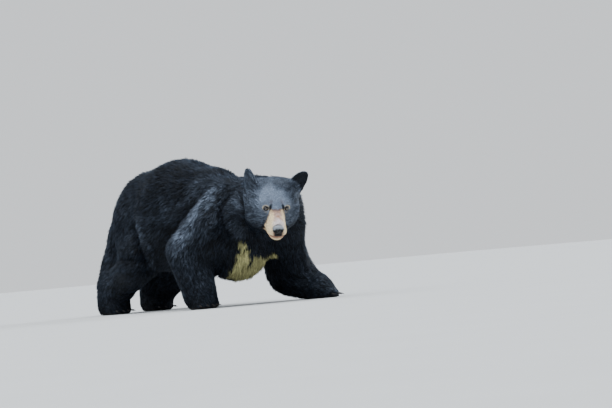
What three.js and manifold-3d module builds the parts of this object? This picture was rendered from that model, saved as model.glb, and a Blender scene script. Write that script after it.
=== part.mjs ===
// American black bear, a life-size adult male, standing with his forequarters low, his left
// forepaw set out to the side and his head turned to the right.
// Millimetres. -Y is the way the trunk faces, +X is the bear's left and +Z is up. The paws
// stand on the plane Z = 0, and the origin lies below the middle of the bounding box.
//
// The body is an implicit surface. Each muscle mass is a swept ellipsoid between two points of
// the skeleton, and the masses are blended into one skin, out to the tips of the coat. That
// skin is meshed on a grid, finer on the head and paws, and parted with thin cuts into nodes.
import * as THREE from "three";
import { mergeVertices } from "three/addons/utils/BufferGeometryUtils.js";
import Module from "manifold-3d";

const wasm = await Module();
wasm.setup();

// ---------------------------------------------------------------- driving dimensions
const GAP = 0.6; // between neighbouring nodes
const HEAD_TURN = 30; // degrees the face is turned to the bear's right of the trunk
const HEAD_NOD = 29; // degrees the face points below the horizontal
const HEAD_TILT = 5; // degrees the crown leans to the bear's left
const EYE_RADIUS = 11.5;
const EYE_PROUD = 4.5; // how far an eyeball stands out of the coat
const EAR_LENGTH = 98;
const EAR_WIDTH = 90;
const EAR_ROOT = 0.5; // share of its length that an ear reaches down into the head
const EARS = {
  L: { lean: 33, turn: -12 },
  R: { lean: 13, turn: 52 },
}; // degrees of outward lean, and of the hollow's turn out to the side
const CLAW_LENGTH = 36;
const CLAW_RADIUS = 5.5;
const CLAW_DROP = 13; // how far the tip curves down
const TOES = 5;

const JOINT_DROP = 20; // how far below the elbow or knee the limb is parted
const ANKLE_RISE = 24; // how far above the ankle the paw begins

// Grid steps of the mesh, finer where the form is smaller.
const STEP = { body: 63, paw: 31, head: 35, face: 21, nose: 13, tail: 24 };

const FINISH = {
  coat: { color: 0x15161b, roughness: 0.75, metalness: 0 },
  muzzle: { color: 0xa98560, roughness: 0.85, metalness: 0 },
  nose: { color: 0x17171a, roughness: 0.4, metalness: 0 },
  eye: { color: 0x2a1a10, roughness: 0.1, metalness: 0 },
  claw: { color: 0x1d1a18, roughness: 0.45, metalness: 0 },
};

// ---------------------------------------------------------------- points of the skeleton
// A point from its distances forward, to the bear's left and up.
const at = (forward, left, up) => new THREE.Vector3(left, -forward, up);
const along = (a, b, share) => a.clone().lerp(b, share);

const spine = {
  rump: at(-275, 0, 548),
  loin: at(-15, 0, 516),
  ribs: at(245, 0, 490),
  breast: at(430, 0, 350),
  nape: at(480, 0, 478),
  neck: at(642, 40, 538),
  skull: at(772, -6, 532),
  ruff: [at(560, 150, 535), at(655, 203, 540)], // the fold of the neck on the outside of its bend
};

const limbs = {
  fore_R: {
    withers: at(440, -110, 600),
    shoulder: at(510, -190, 430),
    elbow: at(322, -258, 325),
    ankle: at(384, -240, 85),
    wrist: [84, 94, 76],
    toeing: 4,
    upper: { low: [330, 120, 190], high: [430, 560, 190], inner: 115 },
    lower: { low: [360, 0, 190], high: [330, 300, 190], inner: 165 },
  },
  fore_L: {
    withers: at(470, 105, 590),
    shoulder: at(590, 200, 412),
    elbow: at(414, 334, 174),
    ankle: at(648, 378, 68),
    wrist: [70, 64, 62],
    toeing: -40,
    upper: { low: [450, 120, 230], high: [480, 560, 190], inner: 115 },
    lower: { low: [540, 0, 300], high: [430, 170, 200], inner: 190 },
  },
  hind_R: {
    hind: true,
    hip: at(-300, -115, 500),
    knee: at(-190, -212, 285),
    ankle: at(-515, -192, 98),
    toeing: 0,
    upper: { low: [-250, 180, 190], high: [-330, 520, 200], inner: 80 },
    lower: { low: [-460, 0, 180], high: [-330, 240, 260], inner: 60 },
  },
  hind_L: {
    hind: true,
    hip: at(-300, 115, 500),
    knee: at(-225, 195, 285),
    ankle: at(-515, 105, 98),
    toeing: 0,
    upper: { low: [-250, 180, 190], high: [-330, 520, 200], inner: 80 },
    lower: { low: [-440, 0, 180], high: [-330, 240, 260], inner: 20 },
  },
};
for (const [name, leg] of Object.entries(limbs)) leg.side = name.endsWith("L") ? 1 : -1;

// ---------------------------------------------------------------- implicit masses
// A mass is an ellipsoid swept from a to b. Its radii are [across, through, lengthwise] at each
// end, and "across" lies as near to the hint direction as the sweep allows.
const LEFT = new THREE.Vector3(1, 0, 0);
const BACK = new THREE.Vector3(0, 1, 0);
const UP = new THREE.Vector3(0, 0, 1);

function mass(a, b, radiiA, radiiB, blend, hint = LEFT) {
  const span = b.clone().sub(a);
  const length = span.length();
  const axis = length > 1 ? span.clone().divideScalar(length) : BACK;
  const across = hint.clone().addScaledVector(axis, -hint.dot(axis)).normalize();
  const through = new THREE.Vector3().crossVectors(axis, across);
  return { a, axis, length, across, through, radiiA, radiiB, blend };
}

const lump = (centre, radii, blend) => mass(centre, centre, radii, radii, blend);

const offset = new THREE.Vector3();
function distanceTo(m, p) {
  offset.subVectors(p, m.a);
  const run = offset.dot(m.axis);
  const reached = Math.min(Math.max(run, 0), m.length);
  const share = m.length > 1 ? reached / m.length : 0;
  const [wide, deep, long] = m.radiiA.map((r, i) => r + share * (m.radiiB[i] - r));
  const x = offset.dot(m.across);
  const y = offset.dot(m.through);
  const z = run - reached;
  const scaled = Math.hypot(x / wide, y / deep, z / long);
  if (scaled < 1e-6) return -Math.min(wide, deep, long);
  return (scaled * (scaled - 1)) / Math.hypot(x / wide ** 2, y / deep ** 2, z / long ** 2);
}

// Distances joined with a fillet of about that size.
function smoothMin(d, e, blend) {
  const h = Math.max(blend - Math.abs(d - e), 0) / blend;
  return Math.min(d, e) - (h * h * blend) / 4;
}

const field = (masses) => (p) =>
  masses.reduce((d, m) => smoothMin(d, distanceTo(m, p), m.blend), 1e6);

// ---------------------------------------------------------------- trunk, neck and tail
function trunkMasses() {
  const { rump, loin, ribs, breast, nape, neck, ruff } = spine;
  return [
    mass(rump, loin, [218, 244, 225], [258, 300, 240], 80),
    mass(loin, ribs, [258, 300, 240], [232, 278, 230], 80),
    lump(breast, [185, 215, 185], 90),
    mass(nape, neck, [196, 185, 150], [158, 160, 95], 70),
    mass(ruff[0], ruff[1], [104, 105, 80], [94, 98, 70], 60),
  ];
}

const tail = [at(-492, 0, 590), at(-534, 0, 468)];
const tailMass = (grown) =>
  mass(tail[0], tail[1], [34 + grown, 30 + grown, 32 + grown], [24 + grown, 20 + grown, 26 + grown], 1);

// ---------------------------------------------------------------- legs
function forelegMasses({ withers, shoulder, elbow, ankle, wrist }) {
  const armpit = along(withers, elbow, 0.35);
  const cuff = [62, 60, 62]; // the long hair behind the forearm
  return [
    mass(withers, shoulder, [80, 105, 100], [100, 120, 105], 80),
    mass(shoulder, along(elbow, ankle, 0.4), [95, 105, 95], [82, 84, 80], 70),
    mass(armpit, elbow, [85, 95, 95], [92, 98, 95], 45),
    mass(elbow, ankle, [98, 114, 95], wrist, 55),
    mass(elbow.clone().add(at(10, -22, -84)), ankle.clone().add(at(-30, 0, -14)), cuff, cuff, 40),
  ];
}

function hindlegMasses({ hip, knee, ankle }) {
  const seat = hip.clone().add(at(-146, 0, -72));
  const heel = ankle.clone().add(at(10, 0, 90));
  return [
    mass(hip, knee, [118, 165, 140], [98, 118, 105], 90),
    mass(seat, heel, [88, 102, 88], [66, 72, 60], 60),
    mass(knee, ankle, [94, 112, 92], [72, 94, 70], 60),
  ];
}

// The direction in which a paw points, and the one across it.
function pawAxes({ toeing }) {
  const angle = THREE.MathUtils.degToRad(toeing);
  const forward = at(Math.cos(angle), -Math.sin(angle), 0);
  return { forward, across: new THREE.Vector3(-forward.y, forward.x, 0) };
}

// A point above the sole, at a distance in front of the ankle and to one side of it.
function solePoint(leg, ahead, aside, height) {
  const { forward, across } = pawAxes(leg);
  return new THREE.Vector3(leg.ankle.x, leg.ankle.y, height)
    .addScaledVector(forward, ahead)
    .addScaledVector(across, aside);
}

// Where each toe starts and ends, fanned out over the width of the paw.
function toes(leg) {
  const reach = leg.hind ? 112 : 64;
  const spread = leg.hind ? 25 : 27;
  return Array.from({ length: TOES }, (_, i) => {
    const step = i - (TOES - 1) / 2;
    const knuckle = reach - 8 * step * step;
    return {
      root: solePoint(leg, knuckle, spread * step, 27),
      tip: solePoint(leg, knuckle + 34, (spread + 2.5) * step, 18),
    };
  });
}

function pawMasses(leg) {
  const { across } = pawAxes(leg);
  const heel = solePoint(leg, leg.hind ? -38 : -14, 0, 42);
  const palm = solePoint(leg, leg.hind ? 84 : 42, 0, 34);
  return [
    mass(heel, palm, [56, 52, 46], [68, 44, 40], 40, across),
    ...toes(leg).map(({ root, tip }) => mass(root, tip, [18, 24, 20], [16, 20, 17], 16, across)),
  ];
}

const limbMasses = (leg) => [
  ...(leg.hind ? hindlegMasses(leg) : forelegMasses(leg)),
  ...pawMasses(leg),
];

// ---------------------------------------------------------------- head
// The head has a frame of its own, with x forward to the nose, y to its left and z up.
const headFrame = new THREE.Matrix4()
  .makeTranslation(spine.skull.x, spine.skull.y, spine.skull.z)
  .multiply(new THREE.Matrix4().makeRotationZ(THREE.MathUtils.degToRad(-90 - HEAD_TURN)))
  .multiply(new THREE.Matrix4().makeRotationY(THREE.MathUtils.degToRad(HEAD_NOD)))
  .multiply(new THREE.Matrix4().makeRotationX(THREE.MathUtils.degToRad(-HEAD_TILT)));
const inHead = (x, y, z) => new THREE.Vector3(x, y, z).applyMatrix4(headFrame);
const headWay = (x, y, z) => new THREE.Vector3(x, y, z).transformDirection(headFrame);
const headMass = (a, b, radiiA, radiiB, blend) =>
  mass(inHead(...a), inHead(...b), radiiA, radiiB, blend, headWay(0, 1, 0));

const face = {
  eye: [100, 46, 20],
  nose: [216, -2, -49],
  ear: [-20, 120, 92],
};

const sideMasses = (side) => [
  headMass([-40, 62 * side, -32], [18, 66 * side, -40], [82, 86, 70], [74, 74, 60], 50),
  headMass([5, 54 * side, -92], [62, 44 * side, -88], [74, 62, 54], [50, 44, 38], 40),
  headMass([58, 54 * side, 30], [90, 46 * side, 30], [34, 26, 24], [26, 22, 18], 30),
  headMass([-45, 88 * side, 72], [-10, 84 * side, 72], [52, 50, 40], [46, 46, 36], 40),
];

const muzzleMasses = () => [
  headMass([80, 0, -6], [196, 0, -42], [46, 44, 40], [36, 30, 22], 30),
  headMass([88, 0, -62], [186, 0, -74], [55, 38, 40], [51, 32, 30], 25),
  headMass([40, 0, -96], [182, 0, -106], [54, 44, 40], [42, 24, 26], 22),
];

const headMasses = () => [
  headMass([-62, 0, 2], [20, 0, 8], [128, 125, 80], [124, 112, 75], 60),
  headMass([20, 0, 8], [84, 0, 6], [116, 100, 75], [62, 54, 40], 50),
  ...sideMasses(1),
  ...sideMasses(-1),
  ...muzzleMasses(),
];

const limbList = Object.values(limbs);
const body = field([...trunkMasses(), ...limbList.flatMap(limbMasses), ...headMasses()]);

// ---------------------------------------------------------------- meshing
const CORNERS = [0, 1, 2, 3, 4, 5, 6, 7].map((i) => [i & 1, (i >> 1) & 1, (i >> 2) & 1]);
const CELL_EDGES = [];
for (let i = 0; i < 8; i++)
  for (const bit of [1, 2, 4]) if (!(i & bit)) CELL_EDGES.push([i, i | bit]);

// Surface nets: one vertex in each grid cell that the surface crosses, and one quad round each
// grid edge that it crosses.
function meshField(distance, box, step) {
  const size = box.getSize(new THREE.Vector3());
  const count = [size.x, size.y, size.z].map((s) => Math.ceil(s / step) + 1);
  const node = (i, j, k) => (k * count[1] + j) * count[0] + i;
  const place = (i, j, k) => new THREE.Vector3(i, j, k).multiplyScalar(step).add(box.min);
  const values = new Float64Array(count[0] * count[1] * count[2]);
  for (let k = 0; k < count[2]; k++)
    for (let j = 0; j < count[1]; j++)
      for (let i = 0; i < count[0]; i++) values[node(i, j, k)] = distance(place(i, j, k));

  const vertices = [];
  const vertexOf = new Map();
  for (let k = 0; k < count[2] - 1; k++)
    for (let j = 0; j < count[1] - 1; j++)
      for (let i = 0; i < count[0] - 1; i++) {
        const at8 = CORNERS.map(([x, y, z]) => values[node(i + x, j + y, k + z)]);
        const middle = new THREE.Vector3();
        let crossings = 0;
        for (const [p, q] of CELL_EDGES) {
          if (at8[p] < 0 === at8[q] < 0) continue;
          const share = at8[p] / (at8[p] - at8[q]);
          middle.x += CORNERS[p][0] + share * (CORNERS[q][0] - CORNERS[p][0]);
          middle.y += CORNERS[p][1] + share * (CORNERS[q][1] - CORNERS[p][1]);
          middle.z += CORNERS[p][2] + share * (CORNERS[q][2] - CORNERS[p][2]);
          crossings++;
        }
        if (!crossings) continue;
        middle.divideScalar(crossings);
        vertexOf.set(node(i, j, k), vertices.length);
        vertices.push(place(i + middle.x, j + middle.y, k + middle.z));
      }
  vertices.forEach((v) => settle(v, distance));

  const triangles = [];
  const addQuad = (a, b, c, d) => {
    const short = vertices[a].distanceTo(vertices[c]) < vertices[b].distanceTo(vertices[d]);
    triangles.push(...(short ? [a, b, c, a, c, d] : [b, c, d, b, d, a]));
  };
  const unit = [
    [1, 0, 0],
    [0, 1, 0],
    [0, 0, 1],
  ];
  for (let k = 1; k < count[2] - 1; k++)
    for (let j = 1; j < count[1] - 1; j++)
      for (let i = 1; i < count[0] - 1; i++)
        unit.forEach((step3, axis) => {
          const here = values[node(i, j, k)] < 0;
          const there = values[node(i + step3[0], j + step3[1], k + step3[2])] < 0;
          if (here === there) return;
          const u = unit[(axis + 1) % 3];
          const w = unit[(axis + 2) % 3];
          const round = [
            [0, 0],
            [1, 0],
            [1, 1],
            [0, 1],
          ].map(([m, n]) =>
            vertexOf.get(node(i - m * u[0] - n * w[0], j - m * u[1] - n * w[1], k - m * u[2] - n * w[2])),
          );
          addQuad(...(here ? round : round.reverse()));
        });
  return { vertices, triangles };
}

// Moves a vertex onto the surface along the field's slope.
const NUDGE = 1;
function settle(v, distance) {
  const here = distance(v);
  const slope = new THREE.Vector3(
    distance(v.clone().setX(v.x + NUDGE)) - here,
    distance(v.clone().setY(v.y + NUDGE)) - here,
    distance(v.clone().setZ(v.z + NUDGE)) - here,
  ).divideScalar(NUDGE);
  v.addScaledVector(slope, -here / Math.max(slope.lengthSq(), 0.25));
}

// ---------------------------------------------------------------- solids
function solid({ vertices, triangles }) {
  return new wasm.Manifold(
    new wasm.Mesh({
      numProp: 3,
      vertProperties: new Float32Array(vertices.flatMap((v) => [v.x, v.y, v.z])),
      triVerts: new Uint32Array(triangles),
    }),
  );
}

// A closed solid through rings of points, anticlockwise seen from the last, with a point at each end.
function loft(first, rings, last) {
  const sides = rings[0].length;
  const vertices = [...rings.flat(), first, last];
  const [start, end] = [vertices.length - 2, vertices.length - 1];
  const top = (rings.length - 1) * sides;
  const triangles = [];
  for (let k = 0; k < sides; k++) {
    const next = (k + 1) % sides;
    triangles.push(start, next, k, end, top + k, top + next);
    for (let low = 0; low < top; low += sides) {
      const high = low + sides;
      triangles.push(low + k, low + next, high + next, low + k, high + next, high + k);
    }
  }
  return solid({ vertices, triangles });
}

function solidOf(geometry) {
  const bare = geometry.clone();
  bare.deleteAttribute("normal");
  bare.deleteAttribute("uv");
  const merged = mergeVertices(bare, 1e-3);
  return new wasm.Manifold(
    new wasm.Mesh({
      numProp: 3,
      vertProperties: new Float32Array(merged.attributes.position.array),
      triVerts: new Uint32Array(merged.index.array),
    }),
  );
}

// The part of the body's solid inside a box given by two opposite corners.
function bodyIn(cornerA, cornerB, step) {
  const box = new THREE.Box3().setFromPoints([cornerA, cornerB]);
  const walls = box.clone().expandByScalar(-step);
  const outside = new THREE.Vector3();
  const inBox = (p) => {
    walls.clampPoint(p, outside);
    const past = outside.distanceTo(p);
    if (past > 0) return past;
    const { min, max } = walls;
    return -Math.min(p.x - min.x, max.x - p.x, p.y - min.y, max.y - p.y, p.z - min.z, max.z - p.z);
  };
  return solid(meshField((p) => Math.max(body(p), inBox(p)), box, step)).trimByPlane([0, 0, 1], 0);
}

// ---------------------------------------------------------------- cutting planes and blocks
// Keeps what lies on the side of the plane that the normal points to, short of it by half a gap.
function keep(shape, { point, normal }) {
  const n = normal.clone().normalize();
  return shape.trimByPlane([n.x, n.y, n.z], n.dot(point) + GAP / 2);
}

const reversed = ({ point, normal }) => ({ point, normal: normal.clone().negate() });

// A block on one side of the body whose outline, seen from the side, is the hull of two discs
// [forward, up, radius].
const BLOCK_DEPTH = 700;
function sideBlock({ low, high, inner }, side, grown) {
  const rim = [low, high].flatMap(([forward, up, radius]) =>
    Array.from({ length: 24 }, (_, i) => {
      const angle = (i * Math.PI) / 12;
      const r = radius + grown;
      return new THREE.Vector2(forward + r * Math.cos(angle), up + r * Math.sin(angle));
    }),
  );
  const outline = new THREE.Shape(hullOf(rim));
  const block = new THREE.ExtrudeGeometry(outline, { depth: BLOCK_DEPTH, bevelEnabled: false });
  // Its x becomes forward, its y up and its depth the bear's right.
  block.applyMatrix4(new THREE.Matrix4().makeBasis(at(1, 0, 0), at(0, 0, 1), at(0, -1, 0)));
  block.translate(side > 0 ? inner - grown + BLOCK_DEPTH : grown - inner, 0, 0);
  return solidOf(block);
}

// The convex hull of points in a plane, anticlockwise.
function hullOf(points) {
  const sorted = [...points].sort((p, q) => p.x - q.x || p.y - q.y);
  const chain = (list) => {
    const kept = [];
    for (const p of list) {
      while (kept.length > 1 && turn(kept.at(-2), kept.at(-1), p) <= 1e-6) kept.pop();
      kept.push(p);
    }
    return kept.slice(0, -1);
  };
  return [...chain(sorted), ...chain(sorted.reverse())];
}
const turn = (a, b, c) => (b.x - a.x) * (c.y - a.y) - (b.y - a.y) * (c.x - a.x);

// ---------------------------------------------------------------- nodes
const nodes = {};
const add = (name, shape, finish = FINISH.coat) => (nodes[name] = [shape, finish]);

// The trunk, neck and limbs are cut from one mesh, so that their faces meet at the cuts.
const whole = bodyIn(at(-685, -535, -100), at(1020, 560, 940), STEP.body);

// The largest body of a shape, without the slivers that a cut may leave.
const largest = (shape) => shape.decompose().reduce((a, b) => (a.volume() > b.volume() ? a : b));

// A limb is lifted out of the body by two blocks, one for the upper limb and one below it, and
// the paw is parted off by a plane above the ankle, level behind and square to the shin in front.
function legNodes(name, leg) {
  const joint = leg.elbow ?? leg.knee;
  const jointPlane = { point: joint.clone().addScaledVector(UP, -JOINT_DROP), normal: UP };
  const shin = joint.clone().sub(leg.ankle).normalize();
  const normal = leg.hind ? UP : shin;
  const anklePlane = { point: leg.ankle.clone().addScaledVector(normal, ANKLE_RISE), normal };
  const upperBlock = sideBlock(leg.upper, leg.side, -GAP / 2);
  const lowerBlock = sideBlock(leg.lower, leg.side, -GAP / 2);
  const below = (shape) => keep(shape.intersect(lowerBlock), reversed(jointPlane));
  const box = new THREE.Box3().setFromPoints([
    solePoint(leg, -160, -170, -60),
    solePoint(leg, -160, 170, 240),
    solePoint(leg, 220, -170, 240),
    solePoint(leg, 220, 170, -60),
  ]);
  let paw = keep(below(bodyIn(box.min, box.max, STEP.paw)), reversed(anklePlane));
  const [end, letter] = name.split("_");
  toes(leg).forEach((toe, i) => {
    paw = largest(paw.subtract(clawSolid(toe, GAP)));
    add(`claw_${end}_${letter}_${i + 1}`, clawSolid(toe, 0), FINISH.claw);
  });
  add(`${end}_paw_${letter}`, paw);
  add(`${leg.hind ? "shank" : "forearm"}_${letter}`, keep(below(whole), anklePlane));
  add(`${leg.hind ? "thigh" : "upper_arm"}_${letter}`, keep(whole.intersect(upperBlock), jointPlane));
}

// What the limbs leave of a shape.
function withoutLimbs(shape) {
  for (const leg of limbList) {
    const split = (leg.elbow ?? leg.knee).z - JOINT_DROP;
    const upper = sideBlock(leg.upper, leg.side, GAP / 2).trimByPlane([0, 0, 1], split - GAP / 2);
    const lower = sideBlock(leg.lower, leg.side, GAP / 2).trimByPlane([0, 0, -1], -split - GAP / 2);
    shape = shape.subtract(upper).subtract(lower);
  }
  return shape;
}

// Cuts through the head seen from its left side, as [forward, up].
const HEAD = [[-83, -108], [400, -277], [400, 280], [-44, 280]]; // the nape, throat and crown
const HEAD_HALF_WIDTH = 190;
const MOUTH = { back: [108, -84], front: [320, -104] };
const BROW = [150, 90]; // the muzzle leaves the face between here and the mouth's corner
const BELOW = -260;

// A block across the head whose outline, seen from the head's left side, has these corners.
function headBlock(corners, moveX, moveZ) {
  const outline = new THREE.Shape(corners.map(([x, z]) => new THREE.Vector2(x + moveX, z + moveZ)));
  const width = 2 * HEAD_HALF_WIDTH - 2 * moveX;
  const block = new THREE.ExtrudeGeometry(outline, { depth: width, bevelEnabled: false });
  // Its depth runs from the head's left to its right.
  block.rotateX(Math.PI / 2).translate(0, width / 2, 0).applyMatrix4(headFrame);
  return solidOf(block);
}

const neckRoot = { point: at(540, 0, 500), normal: at(0.95, -0.05, 0.3) };

function trunkNodes() {
  const tailBox = new THREE.Box3().setFromPoints(tail).expandByScalar(70);
  const tailSolid = (grown) => solid(meshField((p) => distanceTo(tailMass(grown), p), tailBox, STEP.tail));
  add("trunk", withoutLimbs(keep(whole, reversed(neckRoot))).subtract(tailSolid(GAP)));
  add("tail", tailSolid(0));
  add("neck", largest(withoutLimbs(keep(whole, neckRoot)).subtract(headBlock(HEAD, -GAP, -GAP))));
}

// ---------------------------------------------------------------- the head's nodes
function ball(centre, radius) {
  const sphere = new THREE.SphereGeometry(radius, 10, 7);
  return solidOf(sphere.translate(centre.x, centre.y, centre.z));
}

// Where a line from inside the head along a direction leaves the coat.
function leavesCoat(from, direction) {
  const p = from.clone();
  for (let i = 0; i < 60; i++) p.addScaledVector(direction, -body(p) * 0.7);
  return p;
}

function eyeAt(side) {
  const gaze = headWay(0.86, 0.5 * side, 0.1).normalize();
  const [x, y, z] = face.eye;
  const lidLine = leavesCoat(inHead(x - 40, (y - 20) * side, z), gaze);
  return lidLine.addScaledVector(gaze, EYE_PROUD - EYE_RADIUS);
}

// An ear is a leaf with a hollow front, rooted in the head. Its frame has z along its length, x
// to the hollow side and y across.
function earFrame(side) {
  const pose = EARS[side > 0 ? "L" : "R"];
  const [x, y, z] = face.ear;
  return headFrame
    .clone()
    .multiply(new THREE.Matrix4().makeTranslation(x, y * side, z))
    .multiply(new THREE.Matrix4().makeRotationX(THREE.MathUtils.degToRad(-pose.lean * side)))
    .multiply(new THREE.Matrix4().makeRotationZ(THREE.MathUtils.degToRad(pose.turn * side)));
}

function earSolid(side, grown) {
  const frame = earFrame(side);
  const point = (x, y, z) => new THREE.Vector3(x, y, z).applyMatrix4(frame);
  const rings = Array.from({ length: 8 }, (_, i) => {
    const share = -EAR_ROOT + (0.96 + EAR_ROOT) * (1 - (1 - i / 7) ** 1.5);
    const clear = Math.max(share, 0);
    const half = (EAR_WIDTH / 2) * (1 - 0.12 * clear) * Math.sqrt(1 - clear ** 3.2) + grown;
    const back = 22 - 12 * clear + grown;
    const front = 15 - 8 * clear + grown;
    const hollow = 15 * Math.sin(Math.PI * Math.min(Math.max(share + 0.08, 0), 1));
    return Array.from({ length: 12 }, (_, k) => {
      const angle = (k * Math.PI) / 6;
      const rise = Math.sin(angle);
      const x = rise > 0 ? front * rise - hollow * rise ** 2 : back * rise;
      return point(x, -half * Math.cos(angle), share * EAR_LENGTH);
    });
  });
  return loft(point(0, 0, -EAR_ROOT * EAR_LENGTH - grown), rings, point(-3, 0, EAR_LENGTH + grown));
}

function noseSolid(grown) {
  const [x, y, z] = face.nose;
  const radii = (list) => list.map((radius) => radius + grown);
  const pad = headMass([x - 12, y, z + 3], [x, y, z], radii([30, 24, 14]), radii([31, 25, 15]), 1);
  const box = new THREE.Box3().setFromCenterAndSize(inHead(x, y, z), new THREE.Vector3(120, 120, 120));
  return solid(meshField((p) => distanceTo(pad, p), box, STEP.nose));
}

// The head's share of the body's solid, in a cube round a point of the head.
function headIn(centre, width, step) {
  const box = new THREE.Box3().setFromCenterAndSize(inHead(...centre), new THREE.Vector3(width, width, width));
  return withoutLimbs(bodyIn(box.min, box.max, step).intersect(headBlock(HEAD, 0, 0)));
}

function headNodes() {
  const { back, front } = MOUTH;
  const [ahead] = front;
  const fine = headIn([150, 0, -50], 300, STEP.face);
  const snout = headBlock([BROW, back, [back[0], BELOW], [ahead, BELOW], [ahead, BROW[1]]], -GAP, 0);
  let skull = headIn([0, 0, 0], 510, STEP.head).subtract(snout);
  for (const [letter, side] of [["L", 1], ["R", -1]]) {
    const eye = eyeAt(side);
    skull = skull.subtract(earSolid(side, GAP)).subtract(ball(eye, EYE_RADIUS + GAP));
    add(`ear_${letter}`, earSolid(side, 0));
    add(`eye_${letter}`, ball(eye, EYE_RADIUS), FINISH.eye);
  }
  add("head", largest(skull));
  const upperFace = headBlock([back, front, [ahead, BROW[1]], BROW], 0, GAP);
  const lowerFace = headBlock([back, front, [ahead, BELOW], [back[0], BELOW]], 0, 0);
  add("muzzle", fine.intersect(upperFace).subtract(noseSolid(2 * GAP)), FINISH.muzzle);
  add("jaw", fine.intersect(lowerFace), FINISH.muzzle);
  add("nose", noseSolid(0), FINISH.nose);
}

// ---------------------------------------------------------------- claws
// A claw is a horn that curves down and tapers to a point, with six flat sides.
function clawSolid({ root, tip }, grown) {
  const ahead = tip.clone().sub(root).setZ(0).normalize();
  const across = new THREE.Vector3().crossVectors(ahead, UP);
  const start = tip.clone().addScaledVector(ahead, 6 - grown).setZ(tip.z + 3);
  const centre = (share) =>
    start
      .clone()
      .addScaledVector(ahead, CLAW_LENGTH * share)
      .addScaledVector(UP, -CLAW_DROP * share ** 2);
  const rings = [0, 0.5].map((share) => {
    const radius = CLAW_RADIUS * (1 - 0.8 * share) + grown;
    return Array.from({ length: 6 }, (_, k) => {
      const angle = (k * Math.PI) / 3;
      return centre(share)
        .addScaledVector(across, -radius * 0.8 * Math.cos(angle))
        .addScaledVector(UP, radius * Math.sin(angle));
    });
  });
  return loft(start, rings, centre(1).addScaledVector(ahead, grown));
}

trunkNodes();
headNodes();
for (const [name, leg] of Object.entries(limbs)) legNodes(name, leg);

const group = new THREE.Group();
for (const [name, [shape, finish]] of Object.entries(nodes)) {
  const { numProp, vertProperties, triVerts } = shape.getMesh();
  const geometry = new THREE.BufferGeometry();
  geometry.setAttribute("position", new THREE.BufferAttribute(vertProperties, numProp));
  geometry.setIndex(new THREE.BufferAttribute(triVerts, 1));
  const mesh = new THREE.Mesh(geometry, new THREE.MeshStandardMaterial(finish));
  mesh.name = name;
  group.add(mesh);
}

// The origin moves to the middle of the bounding box, on the floor.
const middle = new THREE.Box3().setFromObject(group).getCenter(new THREE.Vector3());
for (const mesh of group.children) mesh.geometry.translate(-middle.x, -middle.y, 0);

export default group;
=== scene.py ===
import math

import bmesh
import bpy
import numpy as np
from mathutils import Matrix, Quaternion, Vector
from mathutils.bvhtree import BVHTree
from mathutils.kdtree import KDTree


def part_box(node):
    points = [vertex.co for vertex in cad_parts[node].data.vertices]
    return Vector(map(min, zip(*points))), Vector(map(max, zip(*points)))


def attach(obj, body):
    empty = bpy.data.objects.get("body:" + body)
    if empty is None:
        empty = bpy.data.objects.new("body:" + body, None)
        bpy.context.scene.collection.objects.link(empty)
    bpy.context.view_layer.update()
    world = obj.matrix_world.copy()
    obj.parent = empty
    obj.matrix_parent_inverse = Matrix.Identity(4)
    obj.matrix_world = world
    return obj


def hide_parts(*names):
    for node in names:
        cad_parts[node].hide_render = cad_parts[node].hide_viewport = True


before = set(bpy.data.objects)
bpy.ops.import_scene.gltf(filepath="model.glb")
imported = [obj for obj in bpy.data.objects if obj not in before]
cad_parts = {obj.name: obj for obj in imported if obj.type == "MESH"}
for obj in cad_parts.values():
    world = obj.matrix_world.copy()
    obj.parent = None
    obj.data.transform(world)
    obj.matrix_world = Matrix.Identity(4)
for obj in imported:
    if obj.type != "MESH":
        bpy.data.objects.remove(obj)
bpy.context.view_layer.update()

rng = np.random.default_rng(31)

# ---- sizes, in metres
VOXEL = 0.005  # step of the skin's first mesh
SKIN_FACES = 115000  # about how many triangles are left in it
FACE_REACH = 0.21  # its triangles are thinned only further from the face than this
NOSE_VOXEL = 0.0013
SWELL = 0.0008  # closes the thin cuts between the nodes
TUFT_SHARE = 0.95  # scales every density below
PIECE_FACES = 185000  # most triangles in one piece of the coat
PATCH = 0.003  # a tuft's patch on the colour map
LONG = 0.012  # tufts longer than this are bent
SINK = 0.0025  # how far a tuft's root lies under the skin
SINK_SHARE = 0.14  # and the most of the tuft's length that does
ROOT_HEIGHT, TIP_HEIGHT = 0.0008, 0.0012  # least heights over the floor
SOFT = 0.38  # how much a tuft is shaded as the skin under it
LOCK_SHARE = 0.12  # locks for each long tuft

LIMBS = {
    "fore": ("upper_arm", "forearm", "fore_paw"),
    "hind": ("thigh", "shank", "hind_paw"),
}
# Coat of each kind of node: how far the skin lies inside the solid, the length and width of a
# tuft, tufts per square metre, and how much the solid's facets are smoothed.
COAT = {
    "trunk": (0.020, 0.046, 0.0050, 56000, 0.80),
    "tail": (0.014, 0.046, 0.0046, 70000, 0.60),
    "neck": (0.022, 0.048, 0.0049, 62000, 0.70),
    "upper_arm": (0.017, 0.040, 0.0048, 64000, 0.75),
    "forearm": (0.013, 0.031, 0.0042, 84000, 0.60),
    "fore_paw": (0.006, 0.017, 0.0030, 130000, 0.25),
    "head": (0.010, 0.022, 0.0036, 120000, 0.22),
    "ear": (0.002, 0.013, 0.0026, 240000, 0.04),
    "muzzle": (0.0012, 0.0065, 0.0016, 430000, 0.05),
    "jaw": (0.0025, 0.0095, 0.0020, 320000, 0.05),
}
for fore, hind in zip(*LIMBS.values()):
    COAT[hind] = COAT[fore]

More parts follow.
